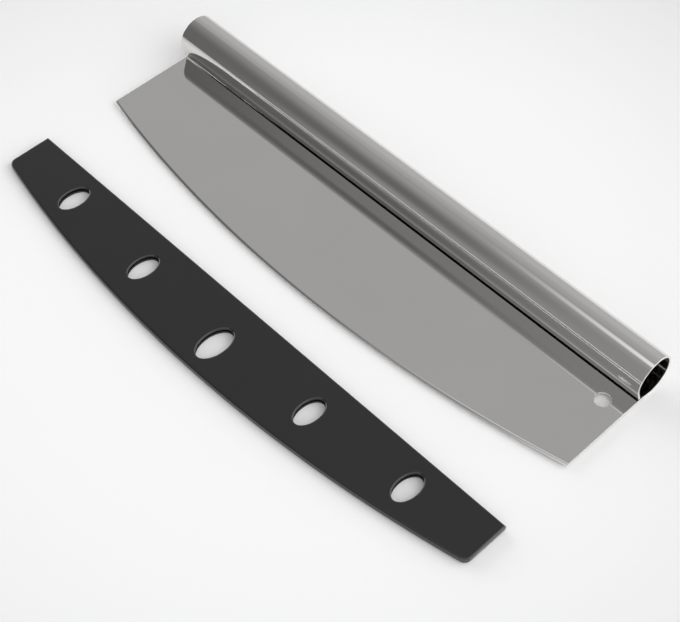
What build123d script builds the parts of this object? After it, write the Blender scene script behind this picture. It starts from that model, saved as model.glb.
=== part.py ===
from build123d import *
import os
from math import atan, cos, degrees, radians, sin, sqrt

# Rocking pizza knife with its blade guard taken off and lying in front of the cutting edge.
# +X runs along the knife towards the end with the hang hole, +Y from the guard towards the
# rolled handle, +Z up. The origin is at the middle of the bounding box, on the table.
# Millimetres throughout. Depths along Y are first counted from the two corners of the
# cutting edge, and the whole assembly is then moved so that its box is centred.

# Sheet: the one piece of stainless steel that is both blade and handle
sheet = 1.2
blade_length = 350.0
edge_bow = 19.85
edge_land = 0.16
grind_width = 1.3
hang_hole_radius = 4.65
hang_hole_from_end = 13.05
hang_hole_from_roll = 14.1

# Roll: the tube that the back of the sheet is rolled into, and its lip
quarter_turn = 90.0
roll_radius = 12.8
roll_depth = 64.95
dip_run = 8.1
lip_lean_angle = 19.0
lip_gap = 1.05

# Guard: the black moulding that covers the cutting edge
guard_thickness = 4.0
guard_cover = 24.2
end_wall = 2.3
spine_middle = 3.0
spine_end = 3.7
corner_radius = 4.5
rim_radius = 0.9
rim_limit_share = 0.8
window_pitch = 65.05
window_width = 11.5
window_height = 19.7
middle_window_width = 13.5
middle_window_height = 23.7
middle_window_drop = 4.7

# Fits between the sheet and the guard, and where the guard lies at rest
slot_clearance = 0.25
edge_clearance = 0.3
rest_gap = 27.4
cut_overrun = 5.0

# Heights worked out from the guard, whose slot is at the level of the sheet
slot_height = sheet + 2 * slot_clearance
cheek = (guard_thickness - slot_height) / 2
sheet_middle = guard_thickness / 2
sheet_under = sheet_middle - sheet / 2
sheet_top = sheet_middle + sheet / 2

# The flat of the sheet ends where the sheet starts to dip under the roll
half_blade = blade_length / 2
roll_start = roll_depth - dip_run
edge_radius = (half_blade**2 + edge_bow**2) / (2 * edge_bow)
edge_centre = edge_radius - edge_bow
half_slot = half_blade + edge_clearance
slot_radius = edge_radius + edge_clearance
half_guard = half_slot + end_wall

# The guard slides straight on along +Y, by this much, until the slot's bottom nears the edge
seated_mouth = guard_cover
seated_apex = -edge_bow - edge_clearance - spine_middle
seated_corner = edge_centre - sqrt(slot_radius**2 - half_guard**2) - spine_end
guard_travel = rest_gap + edge_bow + seated_mouth

# Moves the assembly so that the box from the guard's apex to the back of the roll is centred
rest_apex = seated_apex - guard_travel
roll_back = roll_depth + roll_radius
centre_shift = -(rest_apex + roll_back) / 2


def blade():
    """The flat of the sheet: square ends, a curved edge ground from both faces, a hang hole."""
    land = edge_land / 2
    half_section = Polyline(
        (0, sheet_under),
        (edge_radius - grind_width, sheet_under),
        (edge_radius, sheet_middle - land),
        (edge_radius, sheet_middle + land),
        (edge_radius - grind_width, sheet_top),
        (0, sheet_top),
        close=True,
    )
    ground_disc = revolve(Plane.XZ * make_face(half_section), Axis.Z)
    ground_disc = Pos(0, edge_centre, 0) * ground_disc
    span = edge_bow + roll_start
    middle_depth = (roll_start - edge_bow) / 2
    blank = Pos(0, middle_depth, sheet_middle) * Box(blade_length, span, sheet)
    hole = Cylinder(hang_hole_radius, sheet + 2 * cut_overrun)
    hole = Pos(half_blade - hang_hole_from_end, roll_start - hang_hole_from_roll, sheet_middle) * hole
    return (ground_disc & blank) - hole


def roll_path():
    """Turns and runs of the sheet's middle from the flat to the lip, left turns positive."""
    middle_radius = roll_radius - sheet / 2
    dip_angle = degrees(2 * atan(sheet_under / dip_run))
    dip_radius = dip_run / sin(radians(dip_angle)) - middle_radius
    lean = radians(lip_lean_angle)
    front_foot = sheet_under + roll_radius - middle_radius * sin(lean)
    lip_middle = sheet_top + lip_gap + sheet / 2 * sin(lean)
    return [
        ("turn", dip_radius, -dip_angle),
        ("turn", middle_radius, quarter_turn + dip_angle),
        ("run", sheet_under, 0),
        ("turn", middle_radius, 2 * quarter_turn + lip_lean_angle),
        ("run", (front_foot - lip_middle) / cos(lean), 0),
    ]


def roll_side(offset):
    """One face of the rolled sheet, at an offset to the left of its middle."""
    point = Vector(roll_start, sheet_middle + offset)
    heading = Vector(1, 0)
    pieces = []
    for kind, size, angle in roll_path():
        if kind == "run":
            piece = Line(point, point + heading * size)
        elif angle > 0:
            piece = JernArc(point, heading, size - offset, angle)
        else:
            piece = JernArc(point, heading, size + offset, angle)
        pieces.append(piece)
        point = piece @ 1
        heading = piece % 1
    return pieces


def rolled_handle():
    """The roll: an open tube whose front wall comes back down to a lip just above the blade."""
    inside = roll_side(sheet / 2)
    outside = roll_side(-sheet / 2)
    start = Line(inside[0] @ 0, outside[0] @ 0)
    lip = Line(inside[-1] @ 1, outside[-1] @ 1)
    section = make_face(Curve() + inside + outside + [start, lip])
    return extrude(Plane.YZ * section, amount=half_blade, both=True)


def guard_outline():
    """The guard's outline at rest, from its straight mouth to its curved outer side."""
    mouth = seated_mouth - guard_travel
    corner = seated_corner - guard_travel
    bow = ThreePointArc((-half_guard, corner), (0, rest_apex), (half_guard, corner))
    right = [(half_guard, corner), (half_guard, mouth)]
    left = [(-half_guard, mouth), (-half_guard, corner)]
    sides = Polyline(*right, *left)
    outline = make_face(Curve() + [bow, sides])
    bow_corners = outline.vertices().sort_by(Axis.Y).group_by(Axis.Y)[0]
    return fillet(bow_corners, corner_radius)


def outer_side(x):
    """The depth of the guard's curved outer side at a distance from its middle."""
    rise = seated_corner - seated_apex
    radius = (half_guard**2 + rise**2) / (2 * rise)
    return rest_apex + radius - sqrt(radius**2 - x**2)


def windows():
    """Five oval windows, each halfway across the guard, the middle one larger and lower."""
    mouth = seated_mouth - guard_travel
    ovals = []
    for step in (-2, -1, 0, 1, 2):
        x = step * window_pitch
        y = (mouth + outer_side(x)) / 2
        width, height = window_width, window_height
        if step == 0:
            y = y - middle_window_drop
            width, height = middle_window_width, middle_window_height
        ovals.append(Pos(x, y) * Ellipse(width / 2, height / 2))
    return ovals


def guard_upper_wall():
    """The upper cheek: the outline with its windows, its outer rims rounded."""
    outline = guard_outline()
    for oval in windows():
        outline = outline - oval
    plate = extrude(outline, amount=cheek)
    plate = Pos(0, 0, guard_thickness - cheek) * plate
    rims = plate.faces().sort_by(Axis.Z)[-1].edges()
    return fillet(rims, min(rim_radius, cheek * rim_limit_share))


def guard_lower_wall():
    """The lower cheek, the upper one's mirror image."""
    return mirror(guard_upper_wall(), about=Plane.XY.offset(guard_thickness / 2))


def guard_spine():
    """The strip along the curved side and the two ends, which holds the cheeks apart."""
    mouth = seated_mouth - guard_travel
    slot_disc = Pos(0, edge_centre - guard_travel) * Circle(slot_radius)
    reach = mouth - rest_apex + cut_overrun
    slot_band = Pos(0, rest_apex + reach / 2) * Rectangle(2 * half_slot, reach)
    strip = guard_outline() - (slot_disc & slot_band)
    return Pos(0, 0, cheek) * extrude(strip, amount=slot_height)


def main():
    os.makedirs("parts", exist_ok=True)
    nodes = {
        "blade": blade(),
        "rolled_handle": rolled_handle(),
        "guard_upper_wall": guard_upper_wall(),
        "guard_lower_wall": guard_lower_wall(),
        "guard_spine": guard_spine(),
    }
    for name, solid in nodes.items():
        export_step(Pos(0, centre_shift, 0) * solid, "parts/" + name + ".step")
    print("centre shift", centre_shift, "guard travel", guard_travel)


main()
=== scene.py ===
import bpy
import math
from mathutils import Matrix, Vector
from mathutils.geometry import tessellate_polygon


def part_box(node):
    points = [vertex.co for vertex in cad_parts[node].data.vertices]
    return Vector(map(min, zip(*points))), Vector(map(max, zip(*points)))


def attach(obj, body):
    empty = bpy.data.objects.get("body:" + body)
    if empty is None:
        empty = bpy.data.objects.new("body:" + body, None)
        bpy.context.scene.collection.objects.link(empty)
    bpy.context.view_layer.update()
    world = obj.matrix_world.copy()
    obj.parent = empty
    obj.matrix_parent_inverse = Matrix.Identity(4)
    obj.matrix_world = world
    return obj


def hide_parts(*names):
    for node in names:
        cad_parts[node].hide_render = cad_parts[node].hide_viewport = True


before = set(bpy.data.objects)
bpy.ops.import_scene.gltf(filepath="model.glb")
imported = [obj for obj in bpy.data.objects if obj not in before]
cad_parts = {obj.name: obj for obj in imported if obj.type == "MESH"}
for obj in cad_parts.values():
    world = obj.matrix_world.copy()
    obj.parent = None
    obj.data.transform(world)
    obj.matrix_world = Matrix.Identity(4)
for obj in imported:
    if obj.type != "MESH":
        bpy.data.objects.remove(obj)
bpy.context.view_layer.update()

# Everything is in metres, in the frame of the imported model: +X along the knife towards the
# hang hole, +Y from the guard to the rolled handle, +Z up from the table. Named angles are in
# degrees.
mm = 0.001

# The frame's own sizes
blade_low, blade_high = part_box("blade")
roll_low, roll_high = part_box("rolled_handle")
wall_low, wall_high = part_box("guard_upper_wall")
base_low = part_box("guard_lower_wall")[0]
spine_low, spine_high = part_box("guard_spine")

sheet = blade_high.z - blade_low.z
sheet_middle = (blade_high.z + blade_low.z) / 2
half_blade = blade_high.x
roll_radius = (roll_high.y - roll_low.y) / 2
roll_depth = roll_high.y - roll_radius
roll_start = blade_high.y

# The sheet's ground edge and the rounding of its ends
edge_bow = 19.85 * mm
edge_land = 0.16 * mm
grind_width = 1.3 * mm
sheet_rim = 0.08 * mm

# The hang hole, and the margin of the square patch of the flat round it
hole_radius = 4.65 * mm
hole_from_end = 13.05 * mm
hole_from_roll = 14.1 * mm
hole_rim = 0.02 * mm
hole_margin = 2.0 * mm

# The roll's lip, and the short pieces at the ends of the roll's straight parts
lip_lean_angle = 19.0
lip_gap = 1.05 * mm
run_end = 0.05 * mm

# The guard
end_wall = 2.3 * mm
end_depth = 27.61 * mm
edge_clearance = 0.3 * mm
guard_cover = 24.2 * mm
corner_radius = 4.5 * mm
rim_radius = 0.9 * mm
window_under_rim = 0.1 * mm
window_pitch = 65.05 * mm
window_width = 11.5 * mm
window_height = 19.7 * mm
middle_window_width = 13.5 * mm
middle_window_height = 23.7 * mm
middle_window_drop = 4.7 * mm

# How finely the forms are divided
sheet_columns = 140
sheet_rim_steps = 3
roll_step_angle = 2.0
hole_sides = 72
mouth_steps = 60
corner_steps = 14
bow_steps = 200
slot_steps = 120
guard_rim_steps = 6
window_sides = 96

# Far less than the distance between any two columns of the sheet
tolerance = 1e-7

# The cutting edge's arc
edge_radius = (half_blade**2 + edge_bow**2) / (2 * edge_bow)
edge_centre = blade_low.y + edge_radius

# The guard's outline: a straight mouth, square ends and an outer side on an arc
mouth = wall_high.y
apex = wall_low.y
half_guard = wall_high.x
half_slot = half_guard - end_wall
bow_rise = mouth - end_depth - apex
bow_radius = (half_guard**2 + bow_rise**2) / (2 * bow_rise)
bow_centre = apex + bow_radius


# Meshes

def new_piece(name, vertices, faces, smooth, material, body, replaced):
    """A mesh piece of the object, riding on a body and standing for some of the frame's nodes."""
    mesh = bpy.data.meshes.new(name)
    mesh.from_pydata(vertices, [], faces)
    mesh.polygons.foreach_set("use_smooth", smooth)
    mesh.validate()
    mesh.materials.append(material)
    piece = bpy.data.objects.new(name, mesh)
    bpy.context.scene.collection.objects.link(piece)
    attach(piece, body)
    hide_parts(*replaced)


def arc_points(centre, radius, start, end, count):
    """Points on an arc from one angle to another, both ends included."""
    points = []
    for i in range(count + 1):
        angle = math.radians(start + (end - start) * i / count)
        points.append((centre[0] + radius * math.cos(angle), centre[1] + radius * math.sin(angle)))
    return points


def ellipse_points(centre, width, height, count):
    """Points round an ellipse, anticlockwise."""
    points = []
    for i in range(count):
        angle = 2 * math.pi * i / count
        x = centre[0] + width / 2 * math.cos(angle)
        y = centre[1] + height / 2 * math.sin(angle)
        points.append((x, y))
    return points


def rounding(radius, steps):
    """How far each step of a rounded rim is set in from the wall and dropped from the flat."""
    angles = [math.radians(90 * i / steps) for i in range(steps + 1)]
    return [(radius * (1 - math.sin(angle)), radius * (1 - math.cos(angle))) for angle in angles]


def flat_faces(vertices, rings, upward):
    """Triangles that fill the first ring of vertex numbers round the others, up or down."""
    pool = [v for ids in rings for v in ids]
    loops = [[Vector(vertices[v]) for v in ids] for ids in rings]
    triangles = [tuple(pool[t] for t in triangle) for triangle in tessellate_polygon(loops)]
    # All of them turn the same way, also those so thin that they have no turn of their own
    turn = 0.0
    for ids in triangles:
        a, b, c = (Vector(vertices[v]) for v in ids)
        turn += (b - a).cross(c - a).z
    if (turn > 0) != upward:
        triangles = [ids[::-1] for ids in triangles]
    return triangles


def turn_path(start, heading, moves):
    """Points (y, z, heading) along a path of turns and straight runs in the YZ plane."""
    y, z = start
    points = [(y, z, heading)]
    for kind, size, angle in moves:
        if kind == "run":
            # A short piece at each end keeps the shading of the straight part straight
            for part in (run_end, size - 2 * run_end, run_end):
                y += part * math.cos(math.radians(heading))
                z += part * math.sin(math.radians(heading))
                points.append((y, z, heading))
            continue
        side = 90 if angle > 0 else -90
        aim = math.radians(heading + side)
        centre_y = y + size * math.cos(aim)
        centre_z = z + size * math.sin(aim)
        count = math.ceil(abs(angle) / roll_step_angle)
        for i in range(1, count + 1):
            now = heading + angle * i / count
            back = math.radians(now - side)
            y = centre_y + size * math.cos(back)
            z = centre_z + size * math.sin(back)
            points.append((y, z, now))
        heading += angle
    return points


def roll_middle():
    """The middle of the rolled sheet, from the end of the flat to the lip."""
    middle_radius = roll_radius - sheet / 2
    dip_run = roll_depth - roll_start
    dip_drop = blade_low.z - roll_low.z
    dip_angle = math.degrees(2 * math.atan(dip_drop / dip_run))
    dip_radius = dip_run / math.sin(math.radians(dip_angle)) - middle_radius
    lean = math.radians(lip_lean_angle)
    front_foot = roll_high.z - roll_radius - middle_radius * math.sin(lean)
    lip_middle = blade_high.z + lip_gap + sheet / 2 * math.sin(lean)
    moves = [
        ("turn", dip_radius, -dip_angle),
        ("turn", middle_radius, 90 + dip_angle),
        ("run", dip_drop, 0),
        ("turn", middle_radius, 180 + lip_lean_angle),
        ("run", (front_foot - lip_middle) / math.cos(lean), 0),
    ]
    return turn_path((roll_start, sheet_middle), 0, moves)


def edge_depth(x, inset):
    """The depth of the cutting edge's arc, or of a line set in from it, at x."""
    radius = edge_radius - inset
    return edge_centre - math.sqrt(radius**2 - x**2)


def knife_columns():
    """Places along X with the share of the sheet's thickness there, its end rims rounded."""
    inner = half_blade - sheet_rim
    columns = []
    for i in range(sheet_columns + 1):
        columns.append((-inner + 2 * inner * i / sheet_columns, 1.0))
    # One more column just inside each end rim keeps the shading straight up to it
    columns.insert(1, (-inner + sheet_rim, 1.0))
    columns.insert(-1, (inner - sheet_rim, 1.0))
    rims = []
    for inset, drop in rounding(sheet_rim, sheet_rim_steps)[1:]:
        rims.append((half_blade - inset, 1 - 2 * drop / sheet))
    left = [(-x, share) for x, share in reversed(rims)]
    return left + columns + rims


def knife_mesh(material):
    """The sheet, from its ground edge through the flat and round the roll to the lip."""
    hole_x = half_blade - hole_from_end
    hole_y = roll_start - hole_from_roll
    reach = hole_radius + hole_margin
    path = roll_middle()
    columns = knife_columns()
    # Bring the two columns nearest to the patch round the hole onto its sides
    for side in (hole_x - reach, hole_x + reach):
        nearest = min(range(len(columns)), key=lambda i: abs(columns[i][0] - side))
        columns[nearest] = (side, 1.0)
    vertices, faces, smooth = [], [], []

    def section(x, share):
        """The sheet's closed outline at x: over the top from the edge to the lip, and back."""
        half = sheet / 2 * share
        land = edge_land / 2
        edge = edge_depth(x, 0)
        flat = [edge_depth(x, grind_width), hole_y - reach, hole_y + reach]
        top = [(edge, sheet_middle + land)] + [(y, sheet_middle + half) for y in flat]
        under = [(edge, sheet_middle - land)] + [(y, sheet_middle - half) for y in flat]
        for y, z, heading in path:
            aim = math.radians(heading + 90)
            top.append((y + half * math.cos(aim), z + half * math.sin(aim)))
            under.append((y - half * math.cos(aim), z - half * math.sin(aim)))
        return top + under[::-1]

    loops = []
    for x, share in columns:
        outline = section(x, share)
        loops.append(range(len(vertices), len(vertices) + len(outline)))
        vertices.extend((x, y, z) for y, z in outline)
    count = len(loops[0])
    half_count = count // 2

    # Row j of the faces lies between points j and j + 1 of the outline. On top, row 0 is the
    # ground bevel, rows 1 to 3 are the flat, and the patch is in the middle one of these. The
    # underside's rows mirror them
    patch_row = 2
    patch_rows = [patch_row, count - 2 - patch_row]
    lip_row = half_count - 1
    flat_rows = [row + beside for row in patch_rows for beside in (-1, 0, 1)]
    for i in range(len(loops) - 1):
        over_patch = abs((columns[i][0] + columns[i + 1][0]) / 2 - hole_x) < reach
        for j in range(count):
            if over_patch and j in patch_rows:
                continue
            k = (j + 1) % count
            faces.append((loops[i][j], loops[i + 1][j], loops[i + 1][k], loops[i][k]))
            smooth.append(j not in flat_rows and j != lip_row)
    # The two ends, across the thickness of the sheet
    for end in (0, -1):
        ring = loops[end]
        for j in range(half_count - 1):
            quad = (ring[j], ring[j + 1], ring[count - 2 - j], ring[count - 1 - j])
            faces.append(quad if end == 0 else quad[::-1])
            smooth.append(False)
    # The hang hole's upper rim, its wall and its lower rim
    rows = rounding(hole_rim, sheet_rim_steps)
    levels = [(grow, sheet_middle + sheet / 2 - drop) for grow, drop in rows]
    levels += [(grow, sheet_middle - sheet / 2 + drop) for grow, drop in rows[::-1]]
    rings = []
    for grow, z in levels:
        across = 2 * (hole_radius + grow)
        rings.append(range(len(vertices), len(vertices) + hole_sides))
        circle = ellipse_points((hole_x, hole_y), across, across, hole_sides)
        vertices.extend((x, y, z) for x, y in circle)
    for a, b in zip(rings, rings[1:]):
        for i in range(hole_sides):
            j = (i + 1) % hole_sides
            faces.append((a[i], a[j], b[j], b[i]))
            smooth.append(True)
    # The patch round the hole, on both faces of the sheet
    inside = [i for i in range(len(columns)) if abs(columns[i][0] - hole_x) < reach + tolerance]
    for row, ring, upward in zip(patch_rows, (rings[0], rings[-1]), (True, False)):
        near = [loops[i][row] for i in inside]
        far = [loops[i][row + 1] for i in inside]
        patch = flat_faces(vertices, [near + far[::-1], ring], upward)
        faces.extend(patch)
        smooth.extend([False] * len(patch))
    new_piece(
        "knife_sheet",
        vertices,
        faces,
        smooth,
        material,
        "knife",
        ("blade", "rolled_handle"),
    )


def bow(x):
    """The depth of the guard's curved outer side at x."""
    return bow_centre - math.sqrt(bow_radius**2 - x**2)


def guard_outline(inset):
    """The guard's outline anticlockwise from the mouth's right end, set in by a distance.

    The first points run along the mouth, from one end of the slot to the other."""
    half = half_guard - inset
    top = mouth - inset
    points = [(half, top), (half_slot, top)]
    points += [(half_slot - 2 * half_slot * i / mouth_steps, top) for i in range(1, mouth_steps)]
    points += [(-half_slot, top), (-half, top)]
    # The rounded corner between an end and the bow touches both: its centre is one radius in
    round_x = half_guard - corner_radius
    round_y = bow_centre - math.sqrt((bow_radius - corner_radius) ** 2 - round_x**2)
    touch = math.degrees(math.asin(round_x / (bow_radius - corner_radius)))
    low, high = 270 - touch, 270 + touch
    radius = corner_radius - inset
    points += arc_points((-round_x, round_y), radius, 180, low, corner_steps)
    points += arc_points((0, bow_centre), bow_radius - inset, low, high, bow_steps)[1:-1]
    points += arc_points((round_x, round_y), radius, high, 360, corner_steps)
    return points


def windows(grow):
    """The outlines of the five windows, each made larger by a distance all round."""
    outlines = []
    for place in (-2, -1, 0, 1, 2):
        x = place * window_pitch
        y = (mouth + bow(x)) / 2
        width, height = window_width, window_height
        if place == 0:
            y -= middle_window_drop
            width, height = middle_window_width, middle_window_height
        width += 2 * grow
        height += 2 * grow
        outlines.append(ellipse_points((x, y), width, height, window_sides))
    return outlines


def guard_mesh(material):
    """The guard as one moulding: two cheeks with windows, the spine between them and the slot."""
    top, under = wall_high.z, base_low.z
    slot_top, slot_under = spine_high.z, spine_low.z
    vertices, faces, smooth = [], [], []

    def ring(points, z):
        ids = list(range(len(vertices), len(vertices) + len(points)))
        vertices.extend((x, y, z) for x, y in points)
        return ids

    def join(upper, lower, outward, left_out=()):
        """Faces between two rings of points, one above the other, but for some of them."""
        count = len(upper)
        for i in range(count):
            if i in left_out:
                continue
            j = (i + 1) % count
            quad = (upper[i], lower[i], lower[j], upper[j])
            faces.append(quad if outward else quad[::-1])
            smooth.append(True)

    def cover(outer_ring, holes, upward):
        """A flat face inside one ring and outside others."""
        flat = flat_faces(vertices, [outer_ring] + holes, upward)
        faces.extend(flat)
        smooth.extend([False] * len(flat))

    # The outer side, from the upper rim to the lower one
    rim = rounding(rim_radius, guard_rim_steps)
    upper_levels = [(inset, top - drop) for inset, drop in rim] + [(0, slot_top)]
    lower_levels = [(0, slot_under)] + [(inset, under + drop) for inset, drop in rim[::-1]]
    outer = [ring(guard_outline(inset), z) for inset, z in upper_levels + lower_levels]
    ceiling_row = len(upper_levels) - 1
    slot_from, slot_to = 1, 1 + mouth_steps
    for row, (a, b) in enumerate(zip(outer, outer[1:])):
        join(a, b, True, range(slot_from, slot_to) if row == ceiling_row else ())
    # The windows, whose lower edges are nearly sharp
    share = window_under_rim / rim_radius
    sharp_rim = [(inset * share, drop * share) for inset, drop in rim[::-1]]
    window_levels = [(0, slot_under)] + [(inset, under + drop) for inset, drop in sharp_rim]
    upper_windows = [[ring(w, z) for w in windows(grow)] for grow, z in upper_levels]
    lower_windows = [[ring(w, z) for w in windows(grow)] for grow, z in window_levels]
    for rows in (upper_windows, lower_windows):
        for a, b in zip(rows, rows[1:]):
            for one, two in zip(a, b):
                join(one, two, False)
    cover(outer[0], upper_windows[0], True)
    cover(outer[-1], lower_windows[-1], False)
    # The slot, open along the mouth: its ceiling, its floor and the spine's inner side
    slot_radius = edge_radius + edge_clearance
    slot_centre = mouth - guard_cover - edge_bow - edge_clearance + slot_radius
    spread = math.degrees(math.asin(half_slot / slot_radius))
    inner = arc_points((0, slot_centre), slot_radius, 270 - spread, 270 + spread, slot_steps)
    ceiling_side = ring(inner, slot_top)
    floor_side = ring(inner, slot_under)
    ceiling_mouth = outer[ceiling_row][slot_from : slot_to + 1]
    floor_mouth = outer[ceiling_row + 1][slot_from : slot_to + 1]
    cover(ceiling_mouth + ceiling_side, upper_windows[-1], False)
    cover(floor_mouth + floor_side, lower_windows[0], True)
    ceiling_wall = [ceiling_mouth[-1]] + ceiling_side + [ceiling_mouth[0]]
    floor_wall = [floor_mouth[-1]] + floor_side + [floor_mouth[0]]
    join(ceiling_wall, floor_wall, False, (len(ceiling_wall) - 1,))
    new_piece(
        "guard_moulding",
        vertices,
        faces,
        smooth,
        material,
        "guard",
        ("guard_upper_wall", "guard_lower_wall", "guard_spine"),
    )


# Materials. A tone is a list of (place, colour) stops over a value, and a scale is per metre

no_stretch = (1, 1, 1)

steel_tone = [(0.3, (0.79, 0.779, 0.765)), (0.7, (0.81, 0.799, 0.785))]
steel_cloud_scale = 14
steel_cloud_detail = 3
polish_stretch = (0.6, 12, 12)
polish_scale = 60
polish_detail = 4
polish_roughness = (0.055, 0.085)
polish_strength = 1.0
polish_depth = 0.004 * mm

plastic_tone = [(0.3, (0.0085, 0.0085, 0.0088)), (0.7, (0.0105, 0.0105, 0.0108))]
plastic_cloud_scale = 25
plastic_cloud_detail = 3
plastic_specular = 0.72
grain_scale = 1800
grain_detail = 2
grain_roughness = (0.17, 0.23)
grain_strength = 0.25
grain_depth = 0.05 * mm

# Painted light on the table: its colour darkens with the distance from the object, a painted
# fall-off of the studio's light round it: (metres, grey level) stops
table_painted_light_tone = [
    (0.16, 0.975),
    (0.21, 0.945),
    (0.26, 0.9),
    (0.3, 0.86),
    (0.36, 0.76),
    (0.45, 0.67),
    (0.8, 0.6),
]
table_roughness = 0.3
table_ior = 1.5
table_reach = 6.0
table_gap = 0.05 * mm


def start_material(name):
    """A node material's parts: itself, its tree, its shader and the object's own coordinates."""
    material = bpy.data.materials.new(name)
    material.use_nodes = True
    tree = material.node_tree
    place = tree.nodes.new("ShaderNodeTexCoord")
    return material, tree, tree.nodes["Principled BSDF"], place.outputs["Object"]


def noise(tree, place, scale, detail, stretch=no_stretch):
    """A noise texture over the object, stretched along its axes."""
    mapping = tree.nodes.new("ShaderNodeMapping")
    mapping.inputs["Scale"].default_value = stretch
    texture = tree.nodes.new("ShaderNodeTexNoise")
    texture.inputs["Scale"].default_value = scale
    texture.inputs["Detail"].default_value = detail
    tree.links.new(place, mapping.inputs["Vector"])
    tree.links.new(mapping.outputs["Vector"], texture.inputs["Vector"])
    return texture.outputs["Fac"]


def ramp(tree, value, stops):
    """A colour ramp over a value, with (place, colour) stops."""
    node = tree.nodes.new("ShaderNodeValToRGB")
    elements = node.color_ramp.elements
    while len(elements) < len(stops):
        # Each stop gets its own place below
        elements.new(0.5)
    for element, (place, colour) in zip(elements, stops):
        element.position = place
        element.color = (*colour, 1)
    tree.links.new(value, node.inputs["Fac"])
    return node.outputs["Color"]


def spread_range(tree, value, span):
    """A value from 0 to 1 spread over a span."""
    node = tree.nodes.new("ShaderNodeMapRange")
    node.inputs["To Min"].default_value, node.inputs["To Max"].default_value = span
    tree.links.new(value, node.inputs["Value"])
    return node.outputs["Result"]


def bump(tree, shader, height, strength, distance):
    """A bump on the shader from a height."""
    node = tree.nodes.new("ShaderNodeBump")
    node.inputs["Strength"].default_value = strength
    node.inputs["Distance"].default_value = distance
    tree.links.new(height, node.inputs["Height"])
    tree.links.new(node.outputs["Normal"], shader.inputs["Normal"])


def steel():
    """Polished stainless steel: nearly a mirror, with faint polishing lines along the sheet."""
    material, tree, shader, place = start_material("polished_stainless_steel")
    shader.inputs["Metallic"].default_value = 1.0
    lines = noise(tree, place, polish_scale, polish_detail, polish_stretch)
    cloud = noise(tree, place, steel_cloud_scale, steel_cloud_detail)
    tree.links.new(ramp(tree, cloud, steel_tone), shader.inputs["Base Color"])
    tree.links.new(spread_range(tree, lines, polish_roughness), shader.inputs["Roughness"])
    bump(tree, shader, lines, polish_strength, polish_depth)
    return material


def plastic():
    """Black moulded plastic with a fine matt grain."""
    material, tree, shader, place = start_material("black_moulded_plastic")
    grain = noise(tree, place, grain_scale, grain_detail)
    cloud = noise(tree, place, plastic_cloud_scale, plastic_cloud_detail)
    tree.links.new(ramp(tree, cloud, plastic_tone), shader.inputs["Base Color"])
    tree.links.new(spread_range(tree, grain, grain_roughness), shader.inputs["Roughness"])
    shader.inputs["Specular IOR Level"].default_value = plastic_specular
    bump(tree, shader, grain, grain_strength, grain_depth)
    return material


def table_top():
    """A pale table, its colour darkened away from the object by a painted fall-off of light."""
    material, tree, shader, place = start_material("pale_table_painted_light")
    away = tree.nodes.new("ShaderNodeVectorMath")
    away.operation = "LENGTH"
    tree.links.new(place, away.inputs[0])
    # Painted light: the base colour is brightest near the object and darker further off
    stops = [(distance, (level, level, level)) for distance, level in table_painted_light_tone]
    tree.links.new(ramp(tree, away.outputs["Value"], stops), shader.inputs["Base Color"])
    shader.inputs["Roughness"].default_value = table_roughness
    shader.inputs["IOR"].default_value = table_ior
    return material


# The studio. Its light depends on the direction alone, and a level of 1 is white. Spans along
# are of a direction's X part, spans of height are of its Z part, and tilts are angles over the
# table from straight up, positive to the front. Each fade is a span and the levels at its ends.

# The dim left side, in three parts from the far left to the middle. Each is brighter behind
# than in front, and the second one is brighter again low in front
far_left_fade = ((-35, 38), 0.31, 0.148)
near_left_fade = ((-10, 42), 0.355, 0.15)
near_left_low_fade = ((50, 85), 0, 0.15)
middle_fade = ((2, 40), 0.38, 0.29)
near_left_span = (-0.6, -0.46)
middle_span = (-0.46, -0.28)

# The overhead lamp, whose left end shows as a streak along the roll
lamp_rise = (-13, -4)
lamp_fall = (2.5, 13)
lamp_span = (-0.41, -0.22)
lamp_level = 1.05

# The pale panel behind, from the table up to its upper edge
panel_fade = ((-60, -31), 0.51, 0.42)
panel_edge = (-27, -18)

# The key light to the right, a broad raised band that is strongest behind
key_fade = ((-20, 20), 2.37, 1.26)
key_foot, key_low = (0.05, 0.25), 0.9
key_head, key_above = (0.6, 0.9), 0.8
key_span = (-0.18, 0.2)

# Another key light, at the far left
far_key_span, far_key = (-0.92, -0.78), 4.0


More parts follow.
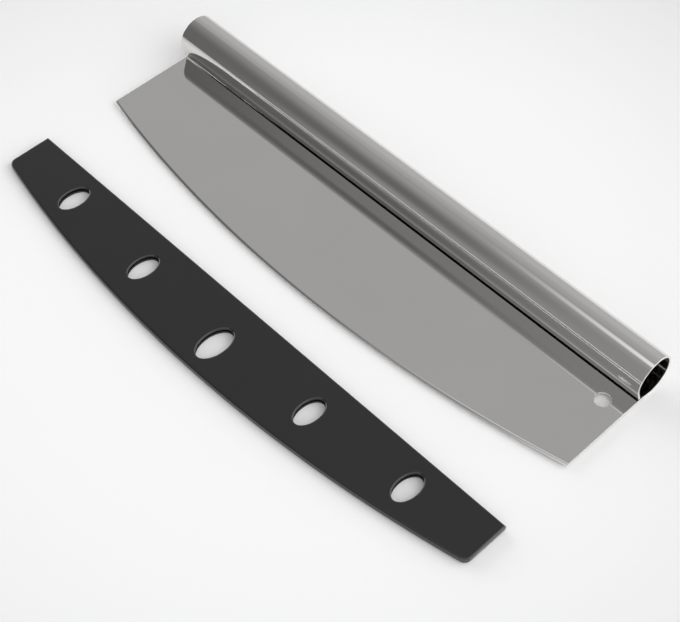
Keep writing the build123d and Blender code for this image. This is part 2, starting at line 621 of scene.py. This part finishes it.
def studio_world():
    """A soft studio round the table, bright to the right and far left and dim between."""
    world = bpy.data.worlds.new("studio")
    bpy.context.scene.world = world
    world.use_nodes = True
    tree = world.node_tree
    background = tree.nodes["Background"]
    place = tree.nodes.new("ShaderNodeTexCoord")
    split = tree.nodes.new("ShaderNodeSeparateXYZ")
    tree.links.new(place.outputs["Generated"], split.inputs["Vector"])
    along, height = split.outputs["X"], split.outputs["Z"]

    def feed(socket, value):
        """A number or another node's output into a socket."""
        if isinstance(value, (int, float)):
            socket.default_value = value
        else:
            tree.links.new(value, socket)

    def math_node(operation, *values):
        node = tree.nodes.new("ShaderNodeMath")
        node.operation = operation
        for socket, value in zip(node.inputs, values):
            feed(socket, value)
        return node.outputs["Value"]

    def rise(value, span):
        """A smooth step from 0 to 1 over a span."""
        node = tree.nodes.new("ShaderNodeMapRange")
        node.interpolation_type = "SMOOTHSTEP"
        node.inputs["From Min"].default_value, node.inputs["From Max"].default_value = span
        tree.links.new(value, node.inputs["Value"])
        return node.outputs["Result"]

    def mix(share, start, end):
        """Between two levels, by a share from 0 to 1."""
        node = tree.nodes.new("ShaderNodeMix")
        node.data_type = "FLOAT"
        for name, value in (("Factor", share), ("A", start), ("B", end)):
            feed([s for s in node.inputs if s.name == name and s.type == "VALUE"][0], value)
        return [s for s in node.outputs if s.type == "VALUE"][0]

    def fade(value, span, start, end):
        """From one level to another, as a value passes over a span."""
        return mix(rise(value, span), start, end)

    front = math_node("MULTIPLY", split.outputs["Y"], -1.0)
    tilt = math_node("DEGREES", math_node("ARCTAN2", front, height))

    near_left = math_node("ADD", fade(tilt, *near_left_fade), fade(tilt, *near_left_low_fade))
    light = fade(along, near_left_span, fade(tilt, *far_left_fade), near_left)
    light = fade(along, middle_span, light, fade(tilt, *middle_fade))
    lamp = math_node("MULTIPLY", rise(tilt, lamp_rise), fade(tilt, lamp_fall, 1.0, 0.0))
    lamp = math_node("MULTIPLY", lamp, rise(along, lamp_span))
    light = mix(lamp, light, lamp_level)
    light = fade(tilt, panel_edge, fade(tilt, *panel_fade), light)
    key = fade(height, key_foot, key_low, fade(tilt, *key_fade))
    key = fade(height, key_head, key, key_above)
    light = fade(along, key_span, light, key)
    light = fade(along, far_key_span, far_key, light)
    tree.links.new(light, background.inputs["Strength"])
    background.inputs["Color"].default_value = (1, 1, 1, 1)


def floor():
    """The table top, just under the object."""
    corners = [(-1, -1), (1, -1), (1, 1), (-1, 1)]
    vertices = [(x * table_reach, y * table_reach, -table_gap) for x, y in corners]
    mesh = bpy.data.meshes.new("table")
    mesh.from_pydata(vertices, [], [(0, 1, 2, 3)])
    mesh.materials.append(table_top())
    piece = bpy.data.objects.new("table", mesh)
    bpy.context.scene.collection.objects.link(piece)


def camera():
    """The photograph's view."""
    picture_width = 680.0
    focal_pixels = 1543.9
    sensor = 36.0
    pitch = math.radians(52.081)
    heading = math.radians(-45.529)
    roll = math.radians(0.485)
    eye = Vector((386.15, -355.435, 644.72)) * mm
    level = math.cos(pitch)
    ahead = Vector((math.sin(heading) * level, math.cos(heading) * level, -math.sin(pitch)))
    right = Vector((math.cos(heading), -math.sin(heading), 0))
    up = right.cross(ahead)
    turned_right = math.cos(roll) * right + math.sin(roll) * up
    turned_up = -math.sin(roll) * right + math.cos(roll) * up
    data = bpy.data.cameras.new("camera")
    data.sensor_fit = "HORIZONTAL"
    data.sensor_width = sensor
    data.lens = focal_pixels / picture_width * sensor
    data.clip_start = 10 * mm
    piece = bpy.data.objects.new("camera", data)
    turn = Matrix((turned_right, turned_up, -ahead)).transposed().to_4x4()
    piece.matrix_world = Matrix.Translation(eye) @ turn
    bpy.context.scene.collection.objects.link(piece)
    bpy.context.scene.camera = piece


camera()
studio_world()
floor()
knife_mesh(steel())
guard_mesh(plastic())

bpy.context.scene.view_settings.view_transform = "Standard"
